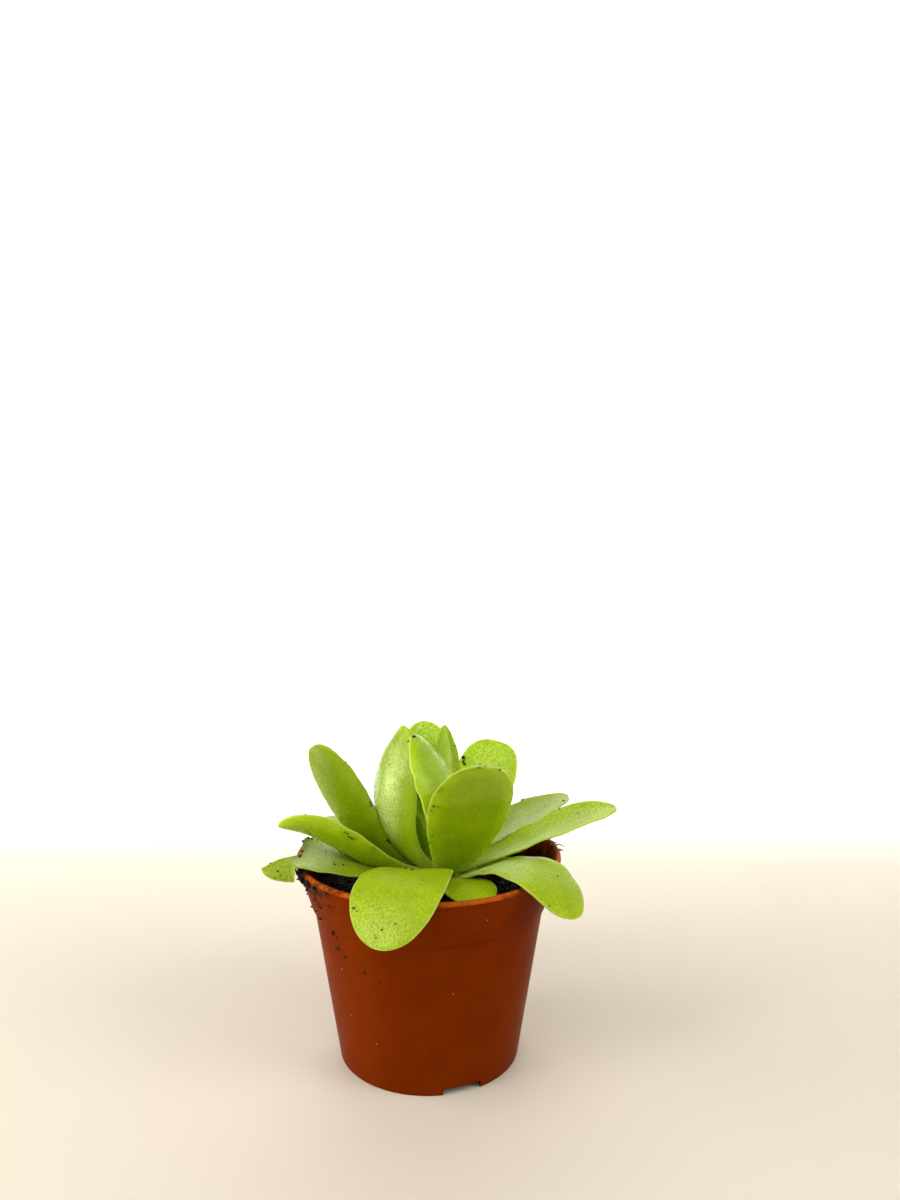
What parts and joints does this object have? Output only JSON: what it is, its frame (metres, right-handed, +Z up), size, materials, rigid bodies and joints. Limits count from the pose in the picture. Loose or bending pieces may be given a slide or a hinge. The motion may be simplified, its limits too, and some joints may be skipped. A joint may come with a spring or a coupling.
{
  "type": "butterwort in a nursery pot",
  "caption": "Butterwort: a loose rosette of broad, fleshy, glandular leaves on a short crown, growing in peat in a round tapered plastic nursery pot.",
  "frame": {"origin": "middle of the flat pad under the pot, on the surface that the pot stands on", "axes": "+Z up along the pot's axis, -Y towards the viewer of the plant's front, +X to the front's right"},
  "size_m": [0.1181, 0.1097, 0.1148],
  "materials": {
    "pot_plastic": "terracotta coloured moulded plastic with a low sheen, dusted with peat near the rim",
    "peat": null,
    "crown": null,
    "leaf": null
  },
  "bodies": {
    "root": {"pot": "pot_plastic", "soil": "peat", "crown": "crown", "leaf_front_broad": "leaf", "leaf_drooping_front": "leaf", "leaf_drooping_right": "leaf", "leaf_small_front": "leaf", "leaf_upturned_left": "leaf", "leaf_torn_left": "leaf", "leaf_bulging": "leaf", "leaf_tall_left": "leaf", "leaf_long_right": "leaf", "leaf_upper_right": "leaf", "leaf_round_back_right": "leaf", "leaf_folded": "leaf", "leaf_narrow_upright": "leaf", "leaf_upright_back": "leaf", "leaf_low_right": "leaf", "leaf_middle_back": "leaf", "leaf_middle_back_left": "leaf", "leaf_low_back_right": "leaf", "leaf_low_back": "leaf", "leaf_low_back_left": "leaf", "leaf_young_left": "leaf", "leaf_young_right": "leaf"}
  },
  "joints": []
}
